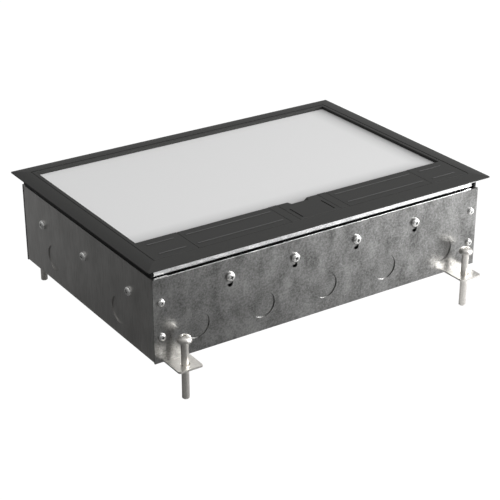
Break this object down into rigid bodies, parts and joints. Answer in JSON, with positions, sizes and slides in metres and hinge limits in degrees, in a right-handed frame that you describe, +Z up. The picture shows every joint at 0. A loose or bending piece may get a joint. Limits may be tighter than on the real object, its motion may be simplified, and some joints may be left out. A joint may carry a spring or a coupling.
{
  "type": "floor socket box",
  "caption": "Rectangular galvanised floor box on levelling screws, with sunk wiring modules on a height-adjustable deck under a hinged lid with cable flaps and a lift handle",
  "frame": {"origin": "centre of the box in plan, on the level of the levelling screws' tips", "axes": "+X along the long side to the right, +Y from the cable flaps to the lid's hinge, +Z up"},
  "size_m": [0.334, 0.2646, 0.1138],
  "materials": {
    "galvanised_steel": "hot-dip galvanised sheet, mottled, satin",
    "plated_steel": "bright zinc plated",
    "levelling_steel": "zinc plated, slightly warm grey",
    "trim_plastic": "moulded dark grey, matt",
    "lid_plastic": "moulded dark grey, matt",
    "infill_metal": "light grey, satin",
    "buffer_rubber": "soft black",
    "earth_brass": "plain",
    "tray_plastic": "moulded dark grey",
    "module_plastic": "moulded white, gloss"
  },
  "bodies": {
    "box": {"base_tray": "galvanised_steel", "front_panel": "galvanised_steel", "back_panel": "galvanised_steel", "panel_screws": "plated_steel", "levelling_brackets": "levelling_steel", "support_frame": "galvanised_steel", "frame_screws": "plated_steel", "frame_nuts": "plated_steel", "trim_frame": "trim_plastic", "lid_buffers": "buffer_rubber", "cable_dividers": "galvanised_steel", "earth_stud": "earth_brass", "earth_nuts": "earth_brass"},
    "module_deck": {"support_rails": "galvanised_steel", "rail_screws": "plated_steel", "rail_nuts": "plated_steel", "module_trays": "tray_plastic", "power_sockets": "module_plastic", "earth_clips": "earth_brass", "data_modules": "module_plastic", "blank_modules": "module_plastic"},
    "lid": {"lid_frame": "lid_plastic", "infill_plate": "infill_metal", "lid_stiffener": "galvanised_steel", "stiffener_screws": "plated_steel", "hinge_pins": "plated_steel", "flap_pins": "plated_steel", "handle_pin": "plated_steel"},
    "left_flap": {"left_cable_flap": "lid_plastic"},
    "right_flap": {"right_cable_flap": "lid_plastic"},
    "lift_handle": {"handle": "lid_plastic"},
    "leveller_front_left_screw": {"leveller_front_left": "levelling_steel"},
    "leveller_front_right_screw": {"leveller_front_right": "levelling_steel"},
    "leveller_back_left_screw": {"leveller_back_left": "levelling_steel"},
    "leveller_back_right_screw": {"leveller_back_right": "levelling_steel"}
  },
  "joints": [
    {"name": "lid_hinge", "type": "hinge", "parent": "box", "child": "lid", "pos_m": [0, 0.089, 0.109], "axis": [-1, 0, 0], "range_deg": [0, 110]},
    {"name": "left_flap_hinge", "type": "hinge", "parent": "lid", "child": "left_flap", "pos_m": [-0.0714, -0.0733, 0.1119], "axis": [-1, 0, 0], "range_deg": [0, 100]},
    {"name": "right_flap_hinge", "type": "hinge", "parent": "lid", "child": "right_flap", "pos_m": [0.0714, -0.0733, 0.1119], "axis": [-1, 0, 0], "range_deg": [0, 100]},
    {"name": "handle_hinge", "type": "hinge", "parent": "lid", "child": "lift_handle", "pos_m": [0, -0.096, 0.1113], "axis": [1, 0, 0], "range_deg": [0, 80]},
    {"name": "deck_height", "type": "slide", "parent": "box", "child": "module_deck", "axis": [0, 0, 1], "range_m": [-0.006, 0]},
    {"name": "leveller_front_left_height", "type": "slide", "parent": "box", "child": "leveller_front_left_screw", "axis": [0, 0, 1], "range_m": [-0.0195, 0.024]},
    {"name": "leveller_front_right_height", "type": "slide", "parent": "box", "child": "leveller_front_right_screw", "axis": [0, 0, 1], "range_m": [-0.0195, 0.024]},
    {"name": "leveller_back_left_height", "type": "slide", "parent": "box", "child": "leveller_back_left_screw", "axis": [0, 0, 1], "range_m": [-0.0195, 0.024]},
    {"name": "leveller_back_right_height", "type": "slide", "parent": "box", "child": "leveller_back_right_screw", "axis": [0, 0, 1], "range_m": [-0.0195, 0.024]}
  ]
}
